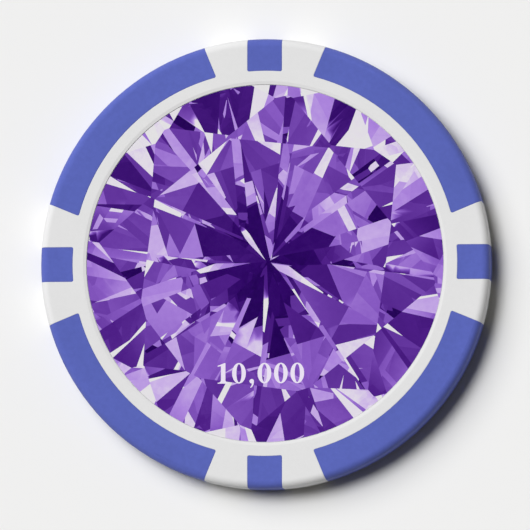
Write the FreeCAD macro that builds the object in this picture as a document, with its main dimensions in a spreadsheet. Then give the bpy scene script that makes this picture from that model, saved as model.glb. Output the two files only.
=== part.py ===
import FreeCAD, Part

"""Casino chip: a moulded disc with a steel weight inside, eight edge spots and a label on each face.

The white body is moulded round a steel slug. Four long arcs and four short blocks of a second colour fill
notches in its rim. They run through the whole thickness, and each is locked in by a neck and a thicker bead
that the white body closes on. Each face has a shallow round recess, where a label of three layers lies a
little below the ring: adhesive, printed film and clear laminate.

Frame: millimetres, +Z up through the thickness, origin at the centre of the lower face. The blocks lie on
the X and Y axes, and the arcs between them. Front is the upper face, and back is the lower one.
"""

import math
import os

import Sketcher

OUT = "parts"
TOLERANCE = 1e-4
SPOTS_OF_A_KIND = 4
# degrees from the X axis to the middle of the first arc and the first block
ARC_TURN = 45.0
BLOCK_TURN = 0.0
# how far the outline of a cut through the rim runs past it
CUT_BEYOND = 1.0

# alias, value in millimetres or degrees, and what it is
DIMENSIONS = [
    ("chip_diameter", 39.0, "outside diameter"),
    ("chip_thickness", 3.3, "overall thickness"),
    ("edge_round", 0.65, "rounding of the rim's two edges"),
    ("recess_diameter", 31.04, "label recess in each face"),
    ("recess_depth", 0.3, "depth of that recess"),
    ("lip_width", 0.28, "sloping lip round the recess, across"),
    ("lip_depth", 0.06, "sloping lip round the recess, down"),
    ("slug_diameter", 29.2, "steel weight"),
    ("slug_thickness", 1.7, "steel weight"),
    ("post_diameter", 2.6, "holes in the slug, which the body's posts fill"),
    ("post_circle", 16.0, "diameter of the circle that the posts stand on"),
    ("post_count", 4, "posts through the slug"),
    ("pin_diameter", 1.4, "holes left by the mould's pins, which held the slug"),
    ("pin_circle", 24.0, "diameter of the circle that the pin holes lie on"),
    ("pin_count", 3, "pin holes"),
    ("spot_inner_radius", 16.7, "where the edge spots start"),
    ("spot_corner_round", 0.15, "rounding of a spot's inner corners"),
    ("seam_round", 0.04, "rounding of the edges along which spots and body meet"),
    ("arc_side_angle", 22.5, "an arc's two ends against its middle line"),
    ("arc_side_offset", 2.3, "how far the line of each end passes from the chip's centre"),
    ("block_side_angle", 0.0, "a block's sides are parallel"),
    ("block_side_offset", 1.5, "half of a block's width"),
    ("neck_inner_radius", 16.35, "where the locking neck ends and the bead starts"),
    ("neck_thickness", 0.7, "locking neck"),
    ("bead_inner_radius", 15.95, "where the locking bead ends"),
    ("bead_thickness", 1.2, "locking bead"),
    ("lock_margin", 0.35, "how far neck and bead stay inside a spot's sides"),
    ("overlap", 0.1, "how far a neck runs into its spot, so that they fuse"),
    ("label_diameter", 31.0, "printed label"),
    ("adhesive_thickness", 0.04, "label adhesive"),
    ("film_thickness", 0.1, "printed film"),
    ("laminate_thickness", 0.04, "clear film over the print"),
]


# ---------------------------------------------------------------- document, sheet and small helpers


def new_sheet(doc):
    """The spreadsheet that holds every driving dimension, one row each."""
    sheet = doc.addObject("Spreadsheet::Sheet", "Dims")
    for row, (alias, value, note) in enumerate(DIMENSIONS, 1):
        sheet.set(f"A{row}", alias)
        sheet.set(f"B{row}", str(value))
        sheet.set(f"C{row}", note)
        sheet.setAlias(f"B{row}", alias)
    doc.recompute()
    return sheet


def size(obj, alias):
    """The present value of a dimension, for placing sketch geometry before its constraints hold it."""
    return float(obj.Document.Dims.get(alias))


def new_body(doc, label):
    body = doc.addObject("PartDesign::Body", label)
    body.Label = label
    return body


def new_sketch(body, name, height="0", turn=0.0):
    """A sketch on the body's XY plane, raised by an expression and turned about Z by some degrees."""
    sketch = body.newObject("Sketcher::SketchObject", name)
    plane = next(f for f in body.Origin.OriginFeatures if f.Role == "XY_Plane")
    sketch.AttachmentSupport = [(plane, "")]
    sketch.MapMode = "FlatFace"
    rotation = FreeCAD.Rotation(FreeCAD.Vector(0, 0, 1), turn)
    sketch.AttachmentOffset = FreeCAD.Placement(FreeCAD.Vector(), rotation)
    sketch.setExpression("AttachmentOffset.Base.z", height)
    return sketch


def bind(sketch, constraint, name, expression):
    """Adds a constraint under a name and ties its value to the sheet."""
    index = sketch.addConstraint(constraint)
    sketch.renameConstraint(index, name)
    sketch.setExpression(f"Constraints.{name}", expression)


def add_circle(sketch, name, diameter, circle=None):
    """A circle of a sheet diameter, centred on the origin, or where a pitch circle crosses the X axis."""
    centre = FreeCAD.Vector(size(sketch, circle) / 2 if circle else 0, 0, 0)
    radius = size(sketch, diameter) / 2
    geometry = sketch.addGeometry(Part.Circle(centre, FreeCAD.Vector(0, 0, 1), radius))
    bind(sketch, Sketcher.Constraint("Diameter", geometry, 2 * radius), name, f"Dims.{diameter}")
    if circle is None:
        sketch.addConstraint(Sketcher.Constraint("Coincident", geometry, 3, -1, 1))
        return
    sketch.addConstraint(Sketcher.Constraint("PointOnObject", geometry, 3, -1))
    reach = Sketcher.Constraint("DistanceX", -1, 1, geometry, 3, centre.x)
    bind(sketch, reach, f"{name}_reach", f"Dims.{circle} / 2")


def pad(body, name, sketch, length, midplane=False):
    feature = body.newObject("PartDesign::Pad", name)
    feature.Profile = sketch
    feature.Midplane = midplane
    feature.setExpression("Length", length)
    body.Document.recompute()
    return feature


def pocket(body, name, sketch, length, midplane=False, upward=False):
    """Cuts a sketch out of the body, and stops if that took nothing away."""
    before = body.Shape.Volume
    feature = body.newObject("PartDesign::Pocket", name)
    feature.Profile = sketch
    feature.Midplane = midplane
    feature.Reversed = upward
    feature.setExpression("Length", length)
    body.Document.recompute()
    if body.Shape.Volume > before - TOLERANCE:
        raise RuntimeError(f"{name} cuts nothing")
    return feature


def polar_pattern(body, name, originals, count):
    """Repeats features about the body's Z axis."""
    pattern = body.newObject("PartDesign::PolarPattern", name)
    pattern.Originals = originals
    axis = next(f for f in body.Origin.OriginFeatures if f.Role == "Z_Axis")
    pattern.Axis = (axis, [""])
    pattern.Angle = 360
    pattern.setExpression("Occurrences", count)
    body.Tip = pattern
    body.Document.recompute()
    return pattern


def picked_edges(base, where):
    """A feature and the names of those of its edges that a test picks."""
    return base, [f"Edge{i}" for i, edge in enumerate(base.Shape.Edges, 1) if where(edge)]


def round_edges(body, name, base, where, radius):
    """Fillets the edges of a feature that a test picks."""
    feature = body.newObject("PartDesign::Fillet", name)
    feature.Base = picked_edges(base, where)
    feature.setExpression("Radius", f"Dims.{radius}")
    body.Document.recompute()
    return feature


def slope_edges(body, name, base, where, width, depth):
    """Chamfers the edges of a feature that a test picks, by one distance across and another down."""
    feature = body.newObject("PartDesign::Chamfer", name)
    feature.Base = picked_edges(base, where)
    feature.ChamferType = "Two distances"
    feature.setExpression("Size", f"Dims.{width}")
    feature.setExpression("Size2", f"Dims.{depth}")
    body.Document.recompute()
    return feature


def face_heights(obj):
    """The levels of the chip's two flat faces."""
    return 0, size(obj, "chip_thickness")


def on_circle(radius, heights):
    """A test for edges that lie on a level circle about the Z axis, at one of the heights."""

    def test(edge):
        curve = edge.Curve
        if not isinstance(curve, Part.Circle) or abs(curve.Radius - radius) > TOLERANCE:
            return False
        centred = math.hypot(curve.Center.x, curve.Center.y) < TOLERANCE
        return centred and any(abs(curve.Center.z - height) < TOLERANCE for height in heights)

    return test


def on_seam(shape, rim_radius, heights):
    """A test for edges where a shape's outside meets the walls of a spot or notch. The outside is the
    two flat faces, the rim and the rim's rounding."""

    def kind(face):
        surface = face.Surface
        if isinstance(surface, Part.Cylinder):
            return "outside" if abs(surface.Radius - rim_radius) < TOLERANCE else "wall"
        if isinstance(surface, Part.Plane):
            level = any(abs(face.CenterOfMass.z - height) < TOLERANCE for height in heights)
            return "outside" if level else "wall"
        return "outside" if isinstance(surface, Part.Toroid) else "lip"

    def test(edge):
        return {kind(face) for face in shape.ancestorsOfType(edge, Part.Face)} == {"outside", "wall"}

    return test


def round_rim(body, name, base):
    """Rounds the two edges of the chip's rim."""
    rim = on_circle(size(body, "chip_diameter") / 2, face_heights(body))
    return round_edges(body, name, base, rim, "edge_round")


def round_seams(body, name, base):
    """Takes the sharpness off the edges along which spots and body meet."""
    seams = on_seam(base.Shape, size(body, "chip_diameter") / 2, face_heights(body))
    return round_edges(body, name, base, seams, "seam_round")


# ---------------------------------------------------------------- the outline of spots, necks and beads


def side_point(radius, angle, offset):
    """Where a straight side meets a circle about the origin. The side climbs at angle from the X axis, and
    passes the origin at offset, on its left."""
    along = math.sqrt(radius**2 - offset**2)
    return FreeCAD.Vector(
        along * math.cos(angle) - offset * math.sin(angle),
        along * math.sin(angle) + offset * math.cos(angle),
        0,
    )


def mirrored(point):
    return FreeCAD.Vector(point.x, -point.y, point.z)


def arc_between(centre, start, end):
    """The counter-clockwise arc about a centre from one point to another."""
    circle = Part.Circle(centre, FreeCAD.Vector(0, 0, 1), (start - centre).Length)
    turn = [math.atan2(p.y - centre.y, p.x - centre.x) for p in (start, end)]
    return Part.ArcOfCircle(circle, turn[0], turn[1])


def tie_side(sketch, line, sign, name, kind, inset):
    """Holds a straight side's slope and its distance from the origin."""
    angle = math.radians(size(sketch, f"{kind}_side_angle"))
    distance = size(sketch, f"{kind}_side_offset") - (size(sketch, "lock_margin") if inset else 0)
    offset = f"Dims.{kind}_side_offset" + (" - Dims.lock_margin" if inset else "")
    apart = Sketcher.Constraint("Distance", -1, 1, line, distance)
    bind(sketch, apart, f"{name}_offset", offset)
    if angle:
        slope = Sketcher.Constraint("Angle", line, sign * angle)
        bind(sketch, slope, f"{name}_slope", f"{sign} * Dims.{kind}_side_angle * 1 deg")
    else:
        sketch.addConstraint(Sketcher.Constraint("Horizontal", line))


def add_outline(sketch, kind, inner, outer, rounded=False, inset=False):
    """A closed outline about the X axis, between two circles and two straight sides. kind is arc or block,
    inner and outer are pairs of radius and expression, rounded rounds the inner corners, and inset keeps
    the sides in by the lock margin."""
    origin = FreeCAD.Vector()
    angle = math.radians(size(sketch, f"{kind}_side_angle"))
    offset = size(sketch, f"{kind}_side_offset") - (size(sketch, "lock_margin") if inset else 0)
    corner = size(sketch, "spot_corner_round") if rounded else 0.0
    # The corner's centre lies a corner radius inside the side and outside the inner circle.
    centre = side_point(inner[0] + corner, angle, offset - corner)
    on_side = centre + corner * FreeCAD.Vector(-math.sin(angle), math.cos(angle), 0)
    on_inner = centre * (inner[0] / (inner[0] + corner))
    tip = side_point(outer[0], angle, offset)

    outer_arc = sketch.addGeometry(arc_between(origin, mirrored(tip), tip))
    inner_arc = sketch.addGeometry(arc_between(origin, mirrored(on_inner), on_inner))
    upper = sketch.addGeometry(Part.LineSegment(on_side, tip))
    lower = sketch.addGeometry(Part.LineSegment(mirrored(on_side), mirrored(tip)))
    for arc in (outer_arc, inner_arc):
        sketch.addConstraint(Sketcher.Constraint("Coincident", arc, 3, -1, 1))
    sketch.addConstraint(Sketcher.Constraint("Coincident", upper, 2, outer_arc, 2))
    sketch.addConstraint(Sketcher.Constraint("Coincident", lower, 2, outer_arc, 1))
    if rounded:
        high = sketch.addGeometry(arc_between(centre, on_side, on_inner))
        low = sketch.addGeometry(arc_between(mirrored(centre), mirrored(on_inner), mirrored(on_side)))
        sketch.addConstraint(Sketcher.Constraint("Tangent", high, 1, upper, 1))
        sketch.addConstraint(Sketcher.Constraint("Tangent", high, 2, inner_arc, 2))
        sketch.addConstraint(Sketcher.Constraint("Tangent", low, 2, lower, 1))
        sketch.addConstraint(Sketcher.Constraint("Tangent", low, 1, inner_arc, 1))
        bind(sketch, Sketcher.Constraint("Radius", high, corner), "corner_high", "Dims.spot_corner_round")
        bind(sketch, Sketcher.Constraint("Radius", low, corner), "corner_low", "Dims.spot_corner_round")
    else:
        sketch.addConstraint(Sketcher.Constraint("Coincident", upper, 1, inner_arc, 2))
        sketch.addConstraint(Sketcher.Constraint("Coincident", lower, 1, inner_arc, 1))
    bind(sketch, Sketcher.Constraint("Radius", outer_arc, outer[0]), "outer_radius", outer[1])
    bind(sketch, Sketcher.Constraint("Radius", inner_arc, inner[0]), "inner_radius", inner[1])
    tie_side(sketch, upper, 1, "upper", kind, inset)
    tie_side(sketch, lower, -1, "lower", kind, inset)


def spot_radii(sketch, beyond=0.0):
    """A spot's inner and outer circle, the outer one a little past the rim where it outlines a cut."""
    outer = size(sketch, "chip_diameter") / 2 + beyond
    inner = (size(sketch, "spot_inner_radius"), "Dims.spot_inner_radius")
    return inner, (outer, f"Dims.chip_diameter / 2 + {beyond}")


def neck_radii(sketch):
    outer = size(sketch, "spot_inner_radius") + size(sketch, "overlap")
    inner = (size(sketch, "neck_inner_radius"), "Dims.neck_inner_radius")
    return inner, (outer, "Dims.spot_inner_radius + Dims.overlap")


def bead_radii(sketch):
    outer = (size(sketch, "neck_inner_radius"), "Dims.neck_inner_radius")
    return (size(sketch, "bead_inner_radius"), "Dims.bead_inner_radius"), outer


# ---------------------------------------------------------------- the sub-parts

MIDDLE = "Dims.chip_thickness / 2"


def cut_spots(body, kind, turn):
    """Notches, neck grooves and bead grooves for the four edge spots of one kind."""
    notch_sketch = new_sketch(body, f"{kind}_notch_sketch", turn=turn)
    add_outline(notch_sketch, kind, *spot_radii(notch_sketch, beyond=CUT_BEYOND), rounded=True)
    notch = pocket(body, f"{kind}_notch", notch_sketch, "Dims.chip_thickness", upward=True)
    neck_sketch = new_sketch(body, f"{kind}_neck_sketch", MIDDLE, turn)
    add_outline(neck_sketch, kind, *neck_radii(neck_sketch), inset=True)
    neck = pocket(body, f"{kind}_neck", neck_sketch, "Dims.neck_thickness", midplane=True)
    bead_sketch = new_sketch(body, f"{kind}_bead_sketch", MIDDLE, turn)
    add_outline(bead_sketch, kind, *bead_radii(bead_sketch), inset=True)
    bead = pocket(body, f"{kind}_bead", bead_sketch, "Dims.bead_thickness", midplane=True)
    return polar_pattern(body, f"{kind}_notches", [notch, neck, bead], str(SPOTS_OF_A_KIND))


def make_chip_body(doc):
    """The white moulding: a rounded disc with a label recess in each face, a cavity that the slug fills,
    posts through the slug, the holes of the mould's pins, and the notches of the edge spots."""
    body = new_body(doc, "chip_body")
    outline = new_sketch(body, "disc_sketch")
    add_circle(outline, "rim", "chip_diameter")
    disc = pad(body, "disc", outline, "Dims.chip_thickness")
    round_rim(body, "rim_rounding", disc)

    for side, height, upward in (("back", "0", True), ("front", "Dims.chip_thickness", False)):
        outline = new_sketch(body, f"{side}_recess_sketch", height)
        add_circle(outline, "wall", "recess_diameter")
        recess = pocket(body, f"{side}_recess", outline, "Dims.recess_depth", upward=upward)
    mouth = on_circle(size(body, "recess_diameter") / 2, face_heights(body))
    slope_edges(body, "lips", recess, mouth, "lip_width", "lip_depth")

    cavity = new_sketch(body, "cavity_sketch", MIDDLE)
    add_circle(cavity, "wall", "slug_diameter")
    pocket(body, "slug_cavity", cavity, "Dims.slug_thickness", midplane=True)
    post_sketch = new_sketch(body, "post_sketch", MIDDLE)
    add_circle(post_sketch, "post", "post_diameter", "post_circle")
    post = pad(body, "post", post_sketch, "Dims.slug_thickness", midplane=True)
    polar_pattern(body, "posts", [post], "Dims.post_count")
    pin_sketch = new_sketch(body, "pin_sketch")
    add_circle(pin_sketch, "pin", "pin_diameter", "pin_circle")
    pin = pocket(body, "pin_hole", pin_sketch, "Dims.chip_thickness", upward=True)
    polar_pattern(body, "pin_holes", [pin], "Dims.pin_count")

    cut_spots(body, "arc", ARC_TURN)
    notches = cut_spots(body, "block", BLOCK_TURN)
    round_seams(body, "seam_rounding", notches)
    return body


def make_steel_slug(doc):
    """The steel weight: a stamped disc with holes that the body's posts fill."""
    body = new_body(doc, "steel_slug")
    outline = new_sketch(body, "slug_sketch", MIDDLE)
    add_circle(outline, "rim", "slug_diameter")
    pad(body, "slug", outline, "Dims.slug_thickness", midplane=True)
    hole_sketch = new_sketch(body, "slug_hole_sketch", MIDDLE)
    add_circle(hole_sketch, "hole", "post_diameter", "post_circle")
    hole = pocket(body, "slug_hole", hole_sketch, "Dims.slug_thickness", midplane=True)
    polar_pattern(body, "slug_holes", [hole], "Dims.post_count")
    return body


def make_edge_spot(doc, kind, number, turn):
    """One edge spot: a block of the second colour through the rim's thickness, with its neck and bead."""
    body = new_body(doc, f"edge_{kind}_{number}")
    outline = new_sketch(body, f"{body.Label}_sketch")
    add_outline(outline, kind, *spot_radii(outline), rounded=True)
    block = pad(body, f"{body.Label}_pad", outline, "Dims.chip_thickness")
    rounded = round_rim(body, f"{body.Label}_rim_rounding", block)
    round_seams(body, f"{body.Label}_seam_rounding", rounded)
    neck = new_sketch(body, f"{body.Label}_neck_sketch", MIDDLE)
    add_outline(neck, kind, *neck_radii(neck), inset=True)
    pad(body, f"{body.Label}_neck", neck, "Dims.neck_thickness", midplane=True)
    bead = new_sketch(body, f"{body.Label}_bead_sketch", MIDDLE)
    add_outline(bead, kind, *bead_radii(bead), inset=True)
    pad(body, f"{body.Label}_bead", bead, "Dims.bead_thickness", midplane=True)
    body.Placement = FreeCAD.Placement(FreeCAD.Vector(), FreeCAD.Rotation(FreeCAD.Vector(0, 0, 1), turn))
    return body


def make_label_layer(doc, side, layer, below):
    """One layer of a label: a thin disc on top of the layers named in below, or under them on the back."""
    disc = doc.addObject("Part::Cylinder", f"{side}_label_{layer}")
    disc.Label = f"{side}_label_{layer}"
    disc.setExpression("Radius", "Dims.label_diameter / 2")
    disc.setExpression("Height", f"Dims.{layer}_thickness")
    stack = " + ".join(f"Dims.{name}_thickness" for name in below) or "0"
    if side == "front":
        height = f"Dims.chip_thickness - Dims.recess_depth + {stack}"
    else:
        height = f"Dims.recess_depth - ({stack}) - Dims.{layer}_thickness"
    disc.setExpression("Placement.Base.z", height)
    return disc


def make_labels(doc):
    """The two labels, each of three layers from the recess's floor outwards."""
    layers = ("adhesive", "film", "laminate")
    return [
        make_label_layer(doc, side, layer, layers[:place])
        for side in ("front", "back")
        for place, layer in enumerate(layers)
    ]


def make_chip(doc):
    parts = [make_chip_body(doc), make_steel_slug(doc)]
    for kind, first_turn in (("arc", ARC_TURN), ("block", BLOCK_TURN)):
        for place in range(SPOTS_OF_A_KIND):
            turn = first_turn + place * 360 / SPOTS_OF_A_KIND
            parts.append(make_edge_spot(doc, kind, place + 1, turn))
    return parts + make_labels(doc)


# ---------------------------------------------------------------- checks and output


def check(doc, parts):
    """Stops if any object of the document failed, or a sub-part isn't one valid solid."""
    doc.recompute()
    for obj in doc.Objects:
        if "Invalid" in obj.State or "Error" in obj.State:
            raise RuntimeError(f"{obj.Name} failed: {obj.State}")
    for part in parts:
        shape = part.Shape
        if shape.isNull() or not shape.isValid() or len(shape.Solids) != 1:
            raise RuntimeError(f"{part.Label} isn't one valid solid")


def main():
    doc = FreeCAD.newDocument("casino_chip")
    new_sheet(doc)
    parts = make_chip(doc)
    check(doc, parts)
    os.makedirs(OUT, exist_ok=True)
    for part in parts:
        part.Shape.exportStep(os.path.join(OUT, f"{part.Label}.step"))
        print(f"{part.Label:22s} {part.Shape.Volume:9.3f} mm3  {part.Shape.BoundBox}")
    return parts


parts = main()
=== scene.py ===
"""Looks of the casino chip: its moulded plastics, its printed labels and a small studio round it.

The print on the labels is a brilliant-cut gem seen from above. It isn't drawn: light is traced
through a cut stone of the usual proportions, and each patch of equal path becomes a patch of the
print.
"""
import math
import random

import bmesh
import bpy
import numpy as np
from mathutils import Matrix, Vector
from mathutils.geometry import delaunay_2d_cdt


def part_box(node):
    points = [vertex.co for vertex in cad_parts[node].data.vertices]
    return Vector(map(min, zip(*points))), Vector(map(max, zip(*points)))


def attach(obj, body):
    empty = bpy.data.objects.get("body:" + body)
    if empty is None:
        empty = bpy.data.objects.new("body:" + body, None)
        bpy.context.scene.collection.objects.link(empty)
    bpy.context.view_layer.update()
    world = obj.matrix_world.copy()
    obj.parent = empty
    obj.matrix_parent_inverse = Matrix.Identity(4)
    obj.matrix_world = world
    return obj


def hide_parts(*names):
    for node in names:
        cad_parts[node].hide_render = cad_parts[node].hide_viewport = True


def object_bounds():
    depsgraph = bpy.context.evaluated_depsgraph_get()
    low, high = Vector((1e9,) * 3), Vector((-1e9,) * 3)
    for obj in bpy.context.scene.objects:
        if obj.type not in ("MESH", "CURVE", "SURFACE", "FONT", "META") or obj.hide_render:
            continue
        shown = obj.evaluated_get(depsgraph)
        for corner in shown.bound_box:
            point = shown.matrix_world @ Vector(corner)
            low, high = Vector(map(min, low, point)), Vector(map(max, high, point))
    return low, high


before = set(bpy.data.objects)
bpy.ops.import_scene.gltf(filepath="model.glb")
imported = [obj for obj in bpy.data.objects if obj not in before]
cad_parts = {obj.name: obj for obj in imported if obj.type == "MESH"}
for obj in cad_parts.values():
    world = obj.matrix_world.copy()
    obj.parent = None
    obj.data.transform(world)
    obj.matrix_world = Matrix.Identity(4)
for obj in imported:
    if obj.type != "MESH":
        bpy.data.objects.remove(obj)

CAD_LOW, CAD_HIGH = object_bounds()
MM = 0.001
UP = Vector((0, 0, 1))

# ---------------------------------------------------------------- colours and light levels

# About how much light a level surface gets, in units of the picture's white. Surface colours are
# divided by it.
KEY_LEVEL = 1.09


def to_linear(channel):
    """One sRGB channel, 0 to 255, as linear light."""
    value = channel / 255
    return value / 12.92 if value <= 0.04045 else ((value + 0.055) / 1.055) ** 2.4


def paint(red, green, blue):
    """The surface colour that shows as about this sRGB colour where it lies level in the studio."""
    return tuple(to_linear(channel) / KEY_LEVEL for channel in (red, green, blue)) + (1.0,)


WHITE = paint(228, 228, 229)
BLUE = paint(92, 104, 187)
FLOOR = paint(242, 242, 242)
INK = paint(236, 228, 246)
STEEL_DARK, STEEL_LIGHT = (0.42, 0.42, 0.44, 1), (0.6, 0.6, 0.62, 1)
GLUE_DARK, GLUE_LIGHT = (0.55, 0.53, 0.46, 1), (0.68, 0.66, 0.6, 1)

# The print's tones from darkest to lightest: the share of the print that is darker, and the
# colour there.
TONES = [
    (0.00, (32, 0, 82)),
    (0.05, (48, 5, 103)),
    (0.20, (78, 30, 136)),
    (0.45, (106, 59, 166)),
    (0.65, (138, 92, 198)),
    (0.80, (174, 135, 224)),
    (0.90, (205, 180, 234)),
    (0.95, (227, 220, 234)),
    (1.00, (229, 228, 230)),
]


# ---------------------------------------------------------------- materials

# Nearly all of a noise texture lies between these values.
NOISE_LOW, NOISE_HIGH = 0.3, 0.7

# A colour mix node's sockets, which share their names with its other kinds of socket.
MIX_FACTOR, MIX_FIRST, MIX_SECOND, MIX_RESULT = 0, 6, 7, 2


class Nodes:
    """A new material with a Principled shader, and short ways to add and link nodes."""

    def __init__(self, name):
        self.material = bpy.data.materials.new(name)
        self.material.use_nodes = True
        self.tree = self.material.node_tree
        self.shader = self.tree.nodes["Principled BSDF"]
        self.place = self.add("ShaderNodeTexCoord").outputs["Object"]

    def add(self, kind, **settings):
        """Adds a node. Each setting is an input's value, or else one of the node's own."""
        node = self.tree.nodes.new(kind)
        for key, value in settings.items():
            if key in node.inputs:
                node.inputs[key].default_value = value
            else:
                setattr(node, key, value)
        return node

    def link(self, output, node, key):
        self.tree.links.new(output, node.inputs[key])

    def noise(self, size, detail=3.0, place=None):
        """Noise whose blobs are about size across, in metres where place isn't given."""
        node = self.add("ShaderNodeTexNoise", Scale=1 / size, Detail=detail)
        self.link(self.place if place is None else place, node, "Vector")
        return node.outputs["Fac"]

    def ring_noise(self, width, turns):
        """Noise in streaks round the Z axis: width is across them in metres, and turns is about how
        many of them follow each other round the axis."""
        flat = self.add("ShaderNodeVectorMath", operation="MULTIPLY")
        flat.inputs[1].default_value = (1, 1, 0)
        self.link(self.place, flat, 0)
        outward = self.add("ShaderNodeVectorMath", operation="NORMALIZE")
        self.link(flat.outputs["Vector"], outward, 0)
        round_it = self.add("ShaderNodeVectorMath", operation="SCALE", Scale=turns / math.tau)
        self.link(outward.outputs["Vector"], round_it, 0)
        radius = self.add("ShaderNodeVectorMath", operation="LENGTH")
        self.link(flat.outputs["Vector"], radius, 0)
        height = self.add("ShaderNodeCombineXYZ")
        self.link(radius.outputs["Value"], height, "Z")
        across = self.add("ShaderNodeVectorMath", operation="SCALE", Scale=1 / width)
        self.link(height.outputs["Vector"], across, 0)
        spot = self.add("ShaderNodeVectorMath", operation="ADD")
        self.link(round_it.outputs["Vector"], spot, 0)
        self.link(across.outputs["Vector"], spot, 1)
        return self.noise(1.0, detail=2.0, place=spot.outputs["Vector"])

    def ranged(self, value, low, high):
        """Spreads a noise over low to high."""
        node = self.add("ShaderNodeMapRange")
        ends = {"From Min": NOISE_LOW, "From Max": NOISE_HIGH, "To Min": low, "To Max": high}
        for key, end in ends.items():
            node.inputs[key].default_value = end
        self.link(value, node, "Value")
        return node.outputs["Result"]

    def mixed(self, factor, first, second):
        """Mixes two colours, each a plain one or another node's output, by a factor's output."""
        node = self.add("ShaderNodeMix", data_type="RGBA")
        self.link(factor, node, MIX_FACTOR)
        for colour, key in ((first, MIX_FIRST), (second, MIX_SECOND)):
            if isinstance(colour, bpy.types.NodeSocket):
                self.link(colour, node, key)
            else:
                node.inputs[key].default_value = colour
        return node.outputs[MIX_RESULT]

    def bump(self, *layers):
        """Stacks bumps, each a height output and its depth in metres."""
        normal = None
        for height, depth in layers:
            node = self.add("ShaderNodeBump", Strength=1.0, Distance=depth)
            self.link(height, node, "Height")
            if normal:
                self.link(normal, node, "Normal")
            normal = node.outputs["Normal"]
        self.link(normal, self.shader, "Normal")


def tinted(colour, factor):
    """A colour made lighter or darker by a factor."""
    return tuple(min(channel * factor, 1.0) for channel in colour[:3]) + (1.0,)


# Sizes of the moulded plastic's detail.
CLOUD_SIZE = 6 * MM
STREAK_WIDTH, STREAK_TURNS = 1.1 * MM, 12
SPECK_SIZE = 0.35 * MM
RUB_SIZE = 2.5 * MM
GRAIN_SIZE, GRAIN_DEPTH = 0.12 * MM, 0.006 * MM
WAVE_SIZE, WAVE_DEPTH = 3 * MM, 0.002 * MM
# The most that streaks and specks cover of the colour under them, and how much lighter and darker
# they are, in units of the clouds' variation.
STREAK_COVER, STREAK_LIFT = 0.6, 1.5
SPECK_COVER, SPECK_DROP = 0.3, 4
# How much smoother and rougher the rubs make it, and how much of the usual gloss it has.
RUB_SMOOTHER, RUB_ROUGHER = 0.06, 0.08
PLASTIC_GLOSS = 0.16


def moulded_plastic(name, colour, cloud, roughness):
    """Matt moulded plastic: a fine spark-eroded grain, faint clouds and flow streaks in the colour,
    and a few dull rubs. cloud is the share by which the clouds vary the colour."""
    nodes = Nodes(name)
    clouds = nodes.ranged(nodes.noise(CLOUD_SIZE), 0, 1)
    streaks = nodes.ranged(nodes.ring_noise(STREAK_WIDTH, STREAK_TURNS), 0, STREAK_COVER)
    specks = nodes.ranged(nodes.noise(SPECK_SIZE), 0, SPECK_COVER)
    base = nodes.mixed(clouds, tinted(colour, 1 - cloud), tinted(colour, 1 + cloud))
    base = nodes.mixed(streaks, base, tinted(colour, 1 + STREAK_LIFT * cloud))
    base = nodes.mixed(specks, base, tinted(colour, 1 - SPECK_DROP * cloud))
    nodes.link(base, nodes.shader, "Base Color")
    rubs = nodes.noise(RUB_SIZE, detail=5.0)
    rubs = nodes.ranged(rubs, roughness - RUB_SMOOTHER, roughness + RUB_ROUGHER)
    nodes.link(rubs, nodes.shader, "Roughness")
    nodes.shader.inputs["Specular IOR Level"].default_value = PLASTIC_GLOSS
    nodes.bump(
        (nodes.noise(GRAIN_SIZE, detail=2.0), GRAIN_DEPTH),
        (nodes.noise(WAVE_SIZE, detail=1.0), WAVE_DEPTH),
    )
    return nodes.material


# The steel's rolling lines: their length, how many times narrower they are, and their depth.
LINE_LENGTH, LINE_SLIMNESS, LINE_DEPTH = 5 * MM, 30, 0.002 * MM
STEEL_ROUGHNESS = (0.3, 0.5)


def stamped_steel():
    """The slug's cold-rolled steel, with its rolling lines along X."""
    nodes = Nodes("stamped_steel")
    stretch = nodes.add("ShaderNodeMapping")
    stretch.inputs["Scale"].default_value = (1, LINE_SLIMNESS, 1)
    nodes.link(nodes.place, stretch, "Vector")
    lines = nodes.noise(LINE_LENGTH, detail=4.0, place=stretch.outputs["Vector"])
    base = nodes.mixed(nodes.ranged(lines, 0, 1), STEEL_DARK, STEEL_LIGHT)
    nodes.link(base, nodes.shader, "Base Color")
    nodes.link(nodes.ranged(lines, *STEEL_ROUGHNESS), nodes.shader, "Roughness")
    nodes.shader.inputs["Metallic"].default_value = 1.0
    nodes.bump((lines, LINE_DEPTH))
    return nodes.material


GLUE_CLOUD_SIZE = 1.5 * MM
GLUE_ROUGHNESS = 0.35


def label_adhesive():
    """A thin layer of cloudy glue."""
    nodes = Nodes("label_adhesive")
    clouds = nodes.ranged(nodes.noise(GLUE_CLOUD_SIZE), 0, 1)
    nodes.link(nodes.mixed(clouds, GLUE_DARK, GLUE_LIGHT), nodes.shader, "Base Color")
    nodes.shader.inputs["Roughness"].default_value = GLUE_ROUGHNESS
    return nodes.material


# The print's grain, and how far it shifts a tone.
PRINT_GRAIN_SIZE, PRINT_GRAIN_SHIFT = 0.5 * MM, 0.012
# The film's rubs, waves and gloss.
FILM_RUB_SIZE, FILM_ROUGHNESS = 4 * MM, (0.26, 0.34)
FILM_WAVE_SIZE, FILM_WAVE_DEPTH = 2.2 * MM, 0.0015 * MM
FILM_GLOSS = 0.14


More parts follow.
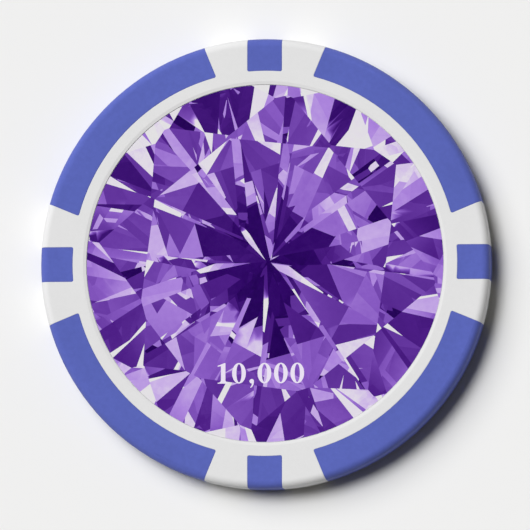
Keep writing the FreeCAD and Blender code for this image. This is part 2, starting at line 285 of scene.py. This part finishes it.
def printed_film():
    """The print under its clear film. The mesh carries a tone for the gem and an amount of ink for
    the figures."""
    nodes = Nodes("printed_film")
    tone = nodes.add("ShaderNodeAttribute", attribute_name="tone")
    ramp = nodes.add("ShaderNodeValToRGB")
    stops = ramp.color_ramp.elements
    while len(stops) < len(TONES):
        stops.new(0.5)
    for stop, (place, colour) in zip(stops, TONES):
        stop.position = place
        stop.color = paint(*colour)
    grained = nodes.add("ShaderNodeMath", operation="ADD")
    nodes.link(tone.outputs["Fac"], grained, 0)
    grain = nodes.noise(PRINT_GRAIN_SIZE)
    nodes.link(nodes.ranged(grain, -PRINT_GRAIN_SHIFT, PRINT_GRAIN_SHIFT), grained, 1)
    nodes.link(grained.outputs["Value"], ramp, "Fac")
    ink = nodes.add("ShaderNodeAttribute", attribute_name="ink")
    base = nodes.mixed(ink.outputs["Fac"], ramp.outputs["Color"], INK)
    nodes.link(base, nodes.shader, "Base Color")
    rubs = nodes.ranged(nodes.noise(FILM_RUB_SIZE), *FILM_ROUGHNESS)
    nodes.link(rubs, nodes.shader, "Roughness")
    nodes.shader.inputs["Specular IOR Level"].default_value = FILM_GLOSS
    nodes.bump((nodes.noise(FILM_WAVE_SIZE, detail=2.0), FILM_WAVE_DEPTH))
    return nodes.material


def dress(node, material):
    """Puts a material on a CAD node, which keeps its shape."""
    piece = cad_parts[node]
    piece.data.materials.clear()
    piece.data.materials.append(material)


# ---------------------------------------------------------------- polygons


def sides(corners):
    """The neighbours round a closed list, in pairs."""
    return zip(corners, corners[1:] + corners[:1])


def polygon_area(corners):
    return sum(x1 * y2 - x2 * y1 for (x1, y1), (x2, y2) in sides(corners)) / 2


def encloses(corners, x, y):
    """Whether a point lies in a convex polygon whose corners run anticlockwise."""
    return all(
        (x2 - x1) * (y - y1) >= (y2 - y1) * (x - x1) for (x1, y1), (x2, y2) in sides(corners)
    )


def clipped(corners, values):
    """The part of a convex polygon where an even slope isn't negative. values are the slope's
    heights at the corners."""
    kept = []
    for (start, end), (low, high) in zip(sides(corners), sides(values)):
        if low >= 0:
            kept.append(start)
        if low * high < 0:
            share = low / (low - high)
            x, y = (a + share * (b - a) for a, b in zip(start, end))
            kept.append((x, y))
    return kept


def circle_points(radius, count):
    turns = np.arange(count) * math.tau / count
    return [(radius * math.cos(turn), radius * math.sin(turn)) for turn in turns]


def oval(x, y, across, up, start=0.0, end=math.tau, count=40):
    """Points along an oval about (x, y), from one turn to another. A whole oval doesn't repeat its
    first point."""
    turns = np.linspace(start, end, count, endpoint=end - start < math.tau)
    return [(x + across * math.cos(turn), y + up * math.sin(turn)) for turn in turns]


def hexagonal_grid(radius, spacing):
    """Points in rows, each spacing from its neighbours and closer to the origin than radius."""
    reach = int(radius / spacing) + 2
    points = []
    for row in range(-reach, reach + 1):
        for column in range(-reach, reach + 1):
            x, y = (column + 0.5 * (row % 2)) * spacing, row * spacing * math.sqrt(0.75)
            if math.hypot(x, y) < radius:
                points.append((x, y))
    return points


# ---------------------------------------------------------------- the cut stone


def facet_through(*corners):
    """The plane through three points: its normal, which faces away from the stone's middle, and its
    distance from there."""
    first, second, third = (np.array(corner) for corner in corners)
    normal = np.cross(second - first, third - first)
    normal /= np.linalg.norm(normal)
    if normal @ first < 0:
        normal = -normal
    return normal, normal @ first


def round_point(radius, azimuth, height):
    return radius * math.cos(azimuth), radius * math.sin(azimuth), height


# How far a facet moves in or out, as a share of how much it tips.
SHIFT_PER_WOBBLE = 0.3


def brilliant_cut(dice, wobble, crown, pavilion, table, star, lower_half, girdle):
    """The facets of a round brilliant with a girdle radius of 1, as normals and distances.

    crown and pavilion are slopes in degrees, table is the table's radius, star and lower_half are
    those facets' lengths, girdle is its thickness, and wobble tips each facet a little.
    """
    rise, fall, eighth, top = math.radians(crown), math.radians(pavilion), math.pi / 8, girdle / 2
    table_height = top + (1 - table) * math.tan(rise)
    table_edge = table * math.cos(eighth)
    star_tip = table_edge + star * (1 - table_edge)
    low_tip = 1 - lower_half
    star_height = top + (1 - star_tip * math.cos(eighth)) * math.tan(rise)
    low_height = -top - (1 - low_tip * math.cos(eighth)) * math.tan(fall)
    facets = []
    for azimuth in (k * math.pi / 4 for k in range(8)):
        # The kite facet above the girdle and the main facet below it.
        for slope, height in ((rise, top), (fall, -top)):
            upright = math.copysign(math.cos(slope), height)
            normal = np.array(round_point(math.sin(slope), azimuth, upright))
            facets.append((normal, normal @ round_point(1, azimuth, height)))
        # The star facet, at the table's edge.
        corners = [round_point(table, azimuth + turn, table_height) for turn in (0, 2 * eighth)]
        facets.append(facet_through(*corners, round_point(star_tip, azimuth + eighth, star_height)))
        # On each side the half facets above and below the girdle, and the girdle's own.
        for side in (-eighth, eighth):
            beside = azimuth + side
            ends = ((top, star_tip, star_height), (-top, low_tip, low_height))
            for height, reach, tip_height in ends:
                girdle_points = [round_point(1, turn, height) for turn in (azimuth, beside)]
                tip = round_point(reach, beside, tip_height)
                facets.append(facet_through(*girdle_points, tip))
            normal = np.array(round_point(1, azimuth + side / 2, 0))
            facets.append((normal, math.cos(eighth / 2)))
    tipped = [(np.array((0.0, 0.0, 1.0)), table_height)]
    for normal, distance in facets:
        normal = normal + [dice.gauss(0, wobble) for _ in range(3)]
        normal /= np.linalg.norm(normal)
        tipped.append((normal, distance + dice.gauss(0, wobble * SHIFT_PER_WOBBLE)))
    return tipped


# The room round the stone. Its blotches are a sum of waves of mixed lengths and heights round a
# middle level.
WAVES, WAVE_STEPS, WAVE_HEIGHTS = 14, (0.5, 1.6), (0.5, 1)
BLOTCH_LEVEL, BLOTCH_SWING, BLOTCH_CONTRAST = 0.5, 0.55, 1.5
# The light from below the girdle's level, as a share of the blotches.
LIGHT_BELOW = 0.25
# The light overhead, what the walls add to it, and how fast the walls brighten above the horizon.
LIGHT_OVERHEAD, LIGHT_OF_WALLS, WALL_RISE = 0.35, 1.2, 4
# A lamp's light, and how the lamps' heights and sizes are spread.
LIGHT_OF_LAMP, LAMP_HEIGHTS, LAMP_SIZES = 1.6, (0.15, 0.85), (0.6, 1.4)
# How much the viewer darkens the room behind them, and how soft the dark shape's edge is.
HOOD_SHADE, HOOD_BLUR = 0.92, 0.12


def room_light(dice, grain, reach, hood, lamps, lamp_size):
    """The light round the stone, as a function of where a ray leaves it and in which direction.

    It is made of blotches on a sphere of radius reach, round lamps of about lamp_size degrees, and
    the viewer's own dark shape within hood degrees of the top. grain is about how many radians a
    blotch's wave turns through from the sphere's middle to its surface.
    """
    waves = []
    for _ in range(WAVES):
        direction = np.array([dice.gauss(0, 1) for _ in range(3)])
        direction /= np.linalg.norm(direction)
        step = direction * grain * dice.uniform(*WAVE_STEPS)
        waves.append((step, dice.uniform(0, math.tau), dice.uniform(*WAVE_HEIGHTS)))
    steps, phases, heights = (np.array(column) for column in zip(*waves))
    discs = []
    for _ in range(lamps):
        azimuth, height = dice.uniform(0, math.tau), dice.uniform(*LAMP_HEIGHTS)
        edge = math.cos(math.radians(lamp_size * dice.uniform(*LAMP_SIZES)))
        discs.append((round_point(math.sqrt(1 - height**2), azimuth, height), edge))
    middles, edges = (np.array(column) for column in zip(*discs))
    rim = math.cos(math.radians(hood))

    def light(place, direction):
        seen = place + direction * reach
        seen = seen / math.sqrt(seen @ seen)
        swell = float(heights @ np.cos(steps @ seen + phases))
        blotch = max(BLOTCH_LEVEL + BLOTCH_SWING * swell / math.sqrt(WAVES), 0)
        height = seen[2]
        if height <= 0:
            return LIGHT_BELOW * blotch
        covered = min(max((height - rim + HOOD_BLUR / 2) / HOOD_BLUR, 0), 1)
        walls = LIGHT_OF_WALLS * math.sqrt(max(0, 1 - height**2)) * min(1, height * WALL_RISE)
        room = blotch**BLOTCH_CONTRAST * (LIGHT_OVERHEAD + walls)
        return (1 - HOOD_SHADE * covered) * (room + LIGHT_OF_LAMP * (middles @ seen > edges).any())

    return light


def mirror_share(cosine, cosine_beyond, ratio):
    """The share of light that a surface reflects, by Fresnel's law. ratio is the index ahead over
    this one."""
    across = (cosine - ratio * cosine_beyond) / (cosine + ratio * cosine_beyond)
    along = (cosine_beyond - ratio * cosine) / (cosine_beyond + ratio * cosine)
    return (across**2 + along**2) / 2


class Beam:
    """Parallel rays. The ray seen at (x, y) in the picture passes start + span @ (x, y)."""

    def __init__(self, start, span, direction):
        self.start, self.span, self.direction = start, span, direction

    def moved_to(self, normal, distance):
        """The same rays, with their starts moved along them onto a plane."""
        slope = normal @ self.direction
        start = self.start + self.direction * ((distance - normal @ self.start) / slope)
        span = self.span - np.outer(self.direction, normal @ self.span) / slope
        return Beam(start, span, self.direction)

    def turned(self, direction):
        return Beam(self.start, self.span, direction)


class Stone:
    """Traces beams through a cut stone and gathers the picture's patches."""

    # The stone's index of refraction, and where beams start, in girdle radii from its middle.
    INDEX = 2.2
    START = 3
    # A beam is followed for so many bounces, while it is this strong and its patch this large.
    DEEPEST = 8
    FAINTEST = 0.03
    SMALLEST = 2e-5
    # A facet whose slope to a beam is below this runs along it and is never met.
    PARALLEL = 1e-9
    # A facet has to be met sooner than the nearest one by this much to count as its rival.
    TIE = 1e-12
    # Parts of a patch that are smaller than this are dropped.
    SLIVER = 1e-9

    def __init__(self, facets, light):
        self.normals = np.array([normal for normal, _ in facets])
        self.distances = np.array([distance for _, distance in facets])
        self.light = light
        self.patches = []

    def parted(self, corners, beam, sign, skipped=None):
        """Parts a polygon of the picture by the facet that each ray meets.

        sign is -1 for rays that come from outside, which meet the last facing plane, and 1 for rays
        inside, which meet the first.
        """
        slopes = self.normals @ beam.direction
        facing = [k for k in np.nonzero(sign * slopes > self.PARALLEL)[0] if k != skipped]
        slopes, normals, distances = slopes[facing], self.normals[facing], self.distances[facing]
        level = sign * (distances - normals @ beam.start) / slopes
        tilt = -sign * (normals @ beam.span) / slopes[:, None]
        reach = level[:, None] + tilt @ np.array(corners).T
        nearest = int(np.argmin(reach.mean(axis=1)))
        rivals = np.nonzero((reach < reach[nearest] - self.TIE).any(axis=1))[0]
        rivals = [nearest] + [int(k) for k in rivals if k != nearest]
        for k in rivals:
            part = corners
            for other in rivals:
                if other == k or len(part) < 3:
                    continue
                lead = level[other] - level[k]
                lead_x, lead_y = tilt[other] - tilt[k]
                part = clipped(part, [lead + lead_x * x + lead_y * y for x, y in part])
            if len(part) > 2 and polygon_area(part) > self.SLIVER:
                yield facing[k], part

    def follow(self, corners, beam, strength, seen, bounces, facet):
        """Follows a beam inside the stone from facet to facet. seen lists the beams that already
        reached the eye, with their strengths."""
        small = polygon_area(corners) < self.SMALLEST
        if small or bounces > self.DEEPEST or strength < self.FAINTEST:
            self.patches.append((corners, seen))
            return
        for k, part in self.parted(corners, beam, 1, facet):
            normal = self.normals[k]
            arrived = beam.moved_to(normal, self.distances[k])
            cosine = normal @ beam.direction
            sine_outside = (1 - cosine**2) * self.INDEX**2
            kept, shown = 1.0, seen
            if sine_outside < 1:
                cosine_outside = math.sqrt(1 - sine_outside)
                kept = mirror_share(cosine, cosine_outside, 1 / self.INDEX)
                bend = cosine_outside - self.INDEX * cosine
                out = self.INDEX * beam.direction + bend * normal
                shown = seen + [(strength * (1 - kept), arrived.turned(out))]
            inward = arrived.turned(beam.direction - 2 * cosine * normal)
            self.follow(part, inward, strength * kept, shown, bounces + 1, k)

    def look(self, outline, view):
        """Looks down on the stone through a convex outline. Returns the picture's patches."""
        view = np.array(view) / np.linalg.norm(view)
        right = np.array((1.0, 0, 0)) - view * view[0]
        right /= np.linalg.norm(right)
        span = np.stack([right, np.cross(right, view)], axis=1)
        beam = Beam(-self.START * view, span, view)
        for k, part in self.parted(outline, beam, -1):
            normal = self.normals[k]
            cosine = -(normal @ view)
            cosine_inside = math.sqrt(1 - (1 - cosine**2) / self.INDEX**2)
            inside = view / self.INDEX + (cosine / self.INDEX - cosine_inside) * normal
            passed = 1 - mirror_share(cosine, cosine_inside, self.INDEX)
            entered = beam.moved_to(normal, self.distances[k]).turned(inside)
            self.follow(part, entered, passed, [], 0, k)
        return self.patches

    def brightness(self, seen, x, y):
        """How bright a patch that shows these beams is at a place in the picture."""
        point = np.array((x, y))
        return sum(
            share * self.light(beam.start + beam.span @ point, beam.direction)
            for share, beam in seen
        )


# ---------------------------------------------------------------- the print

# The seed gives the stone's small irregularities and the room that it stands in.
GEM_SEED = 3407
# The direction in which the stone is looked at.
GEM_VIEW = (-0.02, -0.01, -1.0)
# The middle and the radius of the part that the label shows, in girdle radii, and its turn.
GEM_CENTRE = (-0.01, 0.0)
GEM_RADIUS = 0.82
GEM_TURN = math.radians(16)
# The corners that stand for the round outline of that part.
GEM_CORNERS = 96

# The print's contrast falls from the middle outwards: its highest, its fall, and where it falls.
# 0 is the middle and 1 is the edge. Light of the pivot's brightness keeps its level.
CONTRAST, CONTRAST_FALL, CONTRAST_ZONE = 2.6, 1.6, (0.15, 0.42)
CONTRAST_PIVOT = 1.2
# The print's level changes by these steps from the middle outwards, each over its own zone.
LEVEL_STEPS = [(0.25, (0.3, 0.45)), (-0.3, (0.5, 0.62)), (-0.2, (0.85, 1.0))]


def ease(low, high, value):
    """Rises smoothly from 0 at low to 1 at high."""
    share = min(max((value - low) / (high - low), 0), 1)
    return share * share * (3 - 2 * share)


def gem_print(radius):
    """The gem's patches at print size: each patch's corners, and a function from a place to its
    brightness."""
    dice = random.Random(GEM_SEED)
    facets = brilliant_cut(
        dice, wobble=0.008, crown=34.5, pavilion=42.8, table=0.6, star=0.5, lower_half=0.88,
        girdle=0.03,
    )
    light = room_light(dice, grain=8.0, reach=3.9, hood=38.0, lamps=14, lamp_size=9.0)
    stone = Stone(facets, light)
    centre = np.array(GEM_CENTRE)
    cosine, sine = math.cos(GEM_TURN), math.sin(GEM_TURN)
    turn = np.array(((cosine, -sine), (sine, cosine)))
    rim = circle_points(GEM_RADIUS, GEM_CORNERS)
    outline = [(x + centre[0], y + centre[1]) for x, y in rim]
    scale = radius / GEM_RADIUS
    patches = []
    for corners, seen in stone.look(outline, GEM_VIEW):
        placed = (np.array(corners) - centre) @ turn.T * scale
        out = math.hypot(*placed.mean(axis=0)) / radius
        contrast = CONTRAST - CONTRAST_FALL * ease(*CONTRAST_ZONE, out)
        level = 1
        for step, zone in LEVEL_STEPS:
            level += step * ease(*zone, out)

        def brightness(x, y, seen=seen, contrast=contrast, level=level):
            inner = np.array((x, y)) / scale @ turn + centre
            return level * (stone.brightness(seen, *inner) / CONTRAST_PIVOT) ** contrast

        patches.append(([tuple(point) for point in placed], brightness))
    return patches


def tone_scale(patches):
    """A function from brightness to the share of the print that is darker."""
    rows = []
    for corners, brightness in patches:
        middle = np.mean(corners, axis=0)
        rows.append((brightness(*middle), polygon_area(corners)))
    rows.sort()
    levels, areas = (np.array(column) for column in zip(*rows))
    shares = (np.cumsum(areas) - areas / 2) / areas.sum()
    return lambda value: float(np.interp(value, levels, shares))


FIGURES = "10,000"
FIGURE_HEIGHT = 1.78 * MM
# The middle of the figures' base line.
FIGURES_BASE = (-0.37 * MM, -10.41 * MM)
# Each figure's width with the space round it, for a height of 1.
FIGURE_STEP = {"1": 0.74, "0": 0.8, ",": 0.44}


def figure_outlines(figure):
    """A bold figure with serifs, 1 high: its filled outlines and its holes, each anticlockwise."""
    quarter = math.pi / 2
    if figure == "0":
        return [oval(0, 0.5, 0.335, 0.5)], [oval(0, 0.5, 0.125, 0.44)]
    if figure == ",":
        dot = oval(0, 0.11, 0.11, 0.11, count=24)
        outer = oval(-0.08, 0.1, 0.19, 0.31, -quarter, 0, 12)
        inner = oval(-0.08, 0.08, 0.1, 0.25, 0, -quarter, 12)[:-1]
        return [dot, outer + inner], []
    foot_right = oval(0.27, 0.17, 0.16, 0.125, 3 * quarter, 2 * quarter, 8)
    foot_left = [(-x, y) for x, y in reversed(foot_right)]
    flag = [(0.11, 1.0), (0.07, 1.0), (-0.27, 0.87), (-0.27, 0.825), (-0.11, 0.85)]
    return [[(-0.27, 0.0), (0.27, 0.0)] + foot_right + flag + foot_left], []


def figure_faces():
    """The figures' filled outlines and holes, at print size and place."""
    base_x, base_y = FIGURES_BASE
    width = sum(FIGURE_STEP[figure] for figure in FIGURES)
    along = -width / 2
    filled, holes = [], []
    for figure in FIGURES:
        along += FIGURE_STEP[figure] / 2
        for outlines, faces in zip(figure_outlines(figure), (filled, holes)):
            for outline in outlines:
                faces.append([
                    (base_x + (along + x) * FIGURE_HEIGHT, base_y + y * FIGURE_HEIGHT)
                    for x, y in outline
                ])
        along += FIGURE_STEP[figure] / 2
    return filled, holes


# Points round the print's edge.
RIM_POINTS = 256
# Extra points divide large patches, this far apart and no nearer than this to the print's edge.
GRID_SPACING, GRID_MARGIN = 0.6 * MM, 0.3 * MM
# How the triangulation is asked for the faces inside the outlines, and how close points merge.
INSIDE_FACES, MERGE_DISTANCE = 1, 1e-7


def cut_print(patches, radius):
    """Cuts a disc along the outlines of the patches and the figures. Returns its points, and for
    each of its faces the corners, the patch it shows and whether ink covers it."""
    filled, holes = figure_faces()
    rim = circle_points(radius, RIM_POINTS)
    outlines = [corners for corners, _ in patches] + [rim] + filled + holes
    disc = len(patches)
    first_hole = disc + 1 + len(filled)
    points, rings = [], []
    for outline in outlines:
        rings.append(list(range(len(points), len(points) + len(outline))))
        points.extend(outline)
    points.extend(hexagonal_grid(radius - GRID_MARGIN, GRID_SPACING))
    found, _, cut, _, _, sources = delaunay_2d_cdt(
        [Vector(point) for point in points], [], rings, INSIDE_FACES, MERGE_DISTANCE, True
    )
    middles = np.array([np.mean(corners, axis=0) for corners, _ in patches])
    faces = []
    for corners, source in zip(cut, sources):
        if disc not in source:
            continue
        middle = np.mean([found[corner] for corner in corners], axis=0)
        inside = (k for k in source if k < disc and encloses(patches[k][0], *middle))
        shown = next(inside, None)
        if shown is None:
            shown = int(np.argmin(np.linalg.norm(middles - middle, axis=1)))
        inked = max(source) > disc and max(source) < first_hole
        faces.append((corners, shown, inked))
    return found, faces


# ---------------------------------------------------------------- the labels

# The bevel round the print's edge.
PRINT_BEVEL = 0.02 * MM
# The picture is this much larger than the print's top, so that it covers all of it.
PRINT_SPARE = 1.002
# A face whose normal rises less than this isn't part of the print's top and stays blank.
TOP_RISE = 0.99


def make_print_mesh():
    """A label's film: a slab whose top carries the gem and the figures as tone and ink."""
    low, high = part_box("front_label_film")
    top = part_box("front_label_laminate")[1].z
    radius = (high.x - low.x) / 2 - PRINT_BEVEL
    patches = gem_print(radius * PRINT_SPARE)
    share = tone_scale(patches)
    points, faces = cut_print(patches, radius)

    slab = bmesh.new()
    tone = slab.loops.layers.float.new("tone")
    ink = slab.loops.layers.float.new("ink")
    vertices = [slab.verts.new((point.x, point.y, top)) for point in points]
    for corners, shown, inked in faces:
        face = slab.faces.new([vertices[corner] for corner in corners])
        for corner, loop in zip(corners, face.loops):
            loop[tone] = share(patches[shown][1](*points[corner]))
            loop[ink] = inked
    loose = [vertex for vertex in slab.verts if not vertex.link_faces]
    bmesh.ops.delete(slab, geom=loose, context="VERTS")
    for spread, drop in ((PRINT_BEVEL, PRINT_BEVEL), (0, top - PRINT_BEVEL - low.z)):
        rim = [side for side in slab.edges if side.is_boundary]
        for grown in bmesh.ops.extrude_edge_only(slab, edges=rim)["geom"]:
            if isinstance(grown, bmesh.types.BMVert):
                outward = Vector((grown.co.x, grown.co.y, 0)).normalized()
                grown.co += outward * spread - UP * drop
    bmesh.ops.contextual_create(slab, geom=[side for side in slab.edges if side.is_boundary])
    bmesh.ops.recalc_face_normals(slab, faces=slab.faces)
    for face in slab.faces:
        if face.normal.z < TOP_RISE:
            for loop in face.loops:
                loop[tone] = 1.0
    mesh = bpy.data.meshes.new("label_print")
    slab.to_mesh(mesh)
    slab.free()
    mesh.materials.append(printed_film())
    return mesh


def make_labels():
    """The front label's print, and the same turned over for the back."""
    mesh = make_print_mesh()
    middle = Matrix.Translation((CAD_LOW + CAD_HIGH) / 2)
    turned = middle @ Matrix.Rotation(math.pi, 4, "Y") @ middle.inverted()
    for side, place in (("front", Matrix.Identity(4)), ("back", turned)):
        own = mesh.copy()
        own.transform(place)
        piece = bpy.data.objects.new(f"{side}_label_print", own)
        bpy.context.collection.objects.link(piece)
        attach(piece, "root")
        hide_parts(f"{side}_label_film", f"{side}_label_laminate")


# ---------------------------------------------------------------- studio

FLOOR_REACH = 3.0
FLOOR_ROUGHNESS = 0.9
# The floor lies this little below the chip, so that they don't share a plane.
FLOOR_GAP = 0.002 * MM

# The key light is a small high source inside a wide lower one: elevation, width and share of the
# light.
KEY_AZIMUTH = math.radians(140)
KEYS = [
    (math.radians(66), math.radians(22), 0.41),
    (math.radians(54), math.radians(44), 0.52),
]

# The fill: a pale band along the horizon, and a sky that is warm enough to even out the blue that
# the chip's wall throws into its shadow. The band ends and the sky begins at these heights.
HORIZON, HORIZON_HEIGHT = (0.35, 0.35, 0.35, 1), 0.06
SKY, SKY_HEIGHT = (0.05, 0.048, 0.039, 1), 0.2

# The camera is this far off straight above, towards this azimuth. Its lens is long, because the
# photo shows no perspective. The frame is this wide at the chip's face, with this point in the
# middle.
TILT = math.radians(7)
TILT_AZIMUTH = math.radians(-40)
LENS = 800.0
CAMERA_REACH = 10.0
FRAME_WIDTH = 45.8 * MM
AIM = Vector((0.03 * MM, -0.165 * MM, CAD_HIGH.z))


def sky_direction(azimuth, elevation):
    level = math.cos(elevation)
    return Vector((level * math.cos(azimuth), level * math.sin(azimuth), math.sin(elevation)))


def make_floor():
    """A sheet of pale paper."""
    mesh = bpy.data.meshes.new("floor")
    level = CAD_LOW.z - FLOOR_GAP
    ways = ((-1, -1), (1, -1), (1, 1), (-1, 1))
    corners = [(x * FLOOR_REACH, y * FLOOR_REACH, level) for x, y in ways]
    mesh.from_pydata(corners, [], [(0, 1, 2, 3)])
    nodes = Nodes("floor_paper")
    nodes.shader.inputs["Base Color"].default_value = FLOOR
    nodes.shader.inputs["Roughness"].default_value = FLOOR_ROUGHNESS
    nodes.shader.inputs["Specular IOR Level"].default_value = 0.0
    mesh.materials.append(nodes.material)
    floor = bpy.data.objects.new("floor", mesh)
    bpy.context.collection.objects.link(floor)


def make_lights():
    """The key light's two suns, and the fill."""
    for number, (elevation, width, share) in enumerate(KEYS, 1):
        sun = bpy.data.lights.new(f"key_{number}", "SUN")
        sun.angle = width
        sun.energy = math.pi * KEY_LEVEL * share / math.sin(elevation)
        lamp = bpy.data.objects.new(f"key_{number}", sun)
        towards = sky_direction(KEY_AZIMUTH, elevation)
        lamp.rotation_euler = towards.to_track_quat("Z", "Y").to_euler()
        lamp.visible_glossy = False
        bpy.context.collection.objects.link(lamp)

    world = bpy.data.worlds.new("studio")
    world.use_nodes = True
    bpy.context.scene.world = world
    tree = world.node_tree
    place = tree.nodes.new("ShaderNodeTexCoord")
    split = tree.nodes.new("ShaderNodeSeparateXYZ")
    tree.links.new(place.outputs["Generated"], split.inputs[0])
    ramp = tree.nodes.new("ShaderNodeValToRGB")
    stops = ramp.color_ramp.elements
    stops[0].position, stops[0].color = HORIZON_HEIGHT, HORIZON
    stops[1].position, stops[1].color = SKY_HEIGHT, SKY
    tree.links.new(split.outputs["Z"], ramp.inputs["Fac"])
    tree.links.new(ramp.outputs["Color"], tree.nodes["Background"].inputs["Color"])


def make_camera():
    """The photo's view from above, tilted a little so that the side wall shows."""
    data = bpy.data.cameras.new("camera")
    data.lens = LENS
    data.clip_end = CAMERA_REACH
    camera = bpy.data.objects.new("camera", data)
    bpy.context.collection.objects.link(camera)
    back = sky_direction(TILT_AZIMUTH, math.pi / 2 - TILT)
    right = Vector((0, 1, 0)).cross(back).normalized()
    turned = Matrix((right, back.cross(right), back)).transposed().to_4x4()
    distance = FRAME_WIDTH * LENS / data.sensor_width
    camera.matrix_world = Matrix.Translation(AIM + back * distance) @ turned
    bpy.context.scene.camera = camera
    bpy.context.scene.view_settings.view_transform = "Standard"


# ---------------------------------------------------------------- everything together

make_camera()
make_floor()
make_lights()

white = moulded_plastic("white_plastic", WHITE, cloud=0.012, roughness=0.55)
blue = moulded_plastic("blue_plastic", BLUE, cloud=0.055, roughness=0.5)
dress("chip_body", white)
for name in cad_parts:
    if name.startswith("edge_"):
        dress(name, blue)
dress("steel_slug", stamped_steel())
glue = label_adhesive()
dress("front_label_adhesive", glue)
dress("back_label_adhesive", glue)
make_labels()
